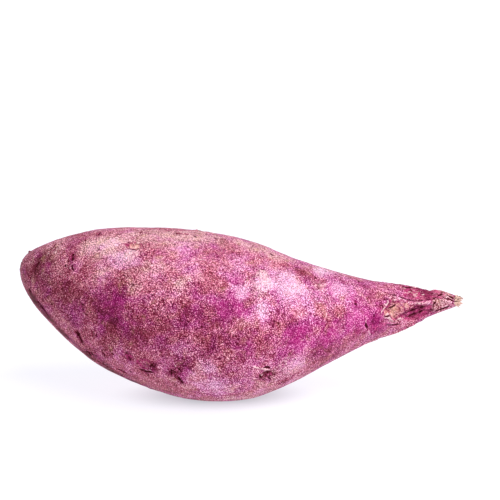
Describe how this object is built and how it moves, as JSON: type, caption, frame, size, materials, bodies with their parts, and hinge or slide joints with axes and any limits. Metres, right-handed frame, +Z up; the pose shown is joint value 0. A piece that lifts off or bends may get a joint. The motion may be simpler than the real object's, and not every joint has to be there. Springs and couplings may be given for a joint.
{
  "type": "sweet potato",
  "caption": "Whole raw purple-skinned sweet potato: a blunt crown, a swollen belly that it rests on and a fluted neck torn from the vine.",
  "frame": {"origin": "middle of the root's bounding box, on the surface that it rests on", "axes": "+X along the root from the blunt crown to the torn neck, +Y away from its best side, +Z up"},
  "size_m": [0.19, 0.0728, 0.073],
  "materials": {
    "skin": "natural"
  },
  "bodies": {
    "root": {"sweet_potato": "skin"}
  },
  "joints": []
}
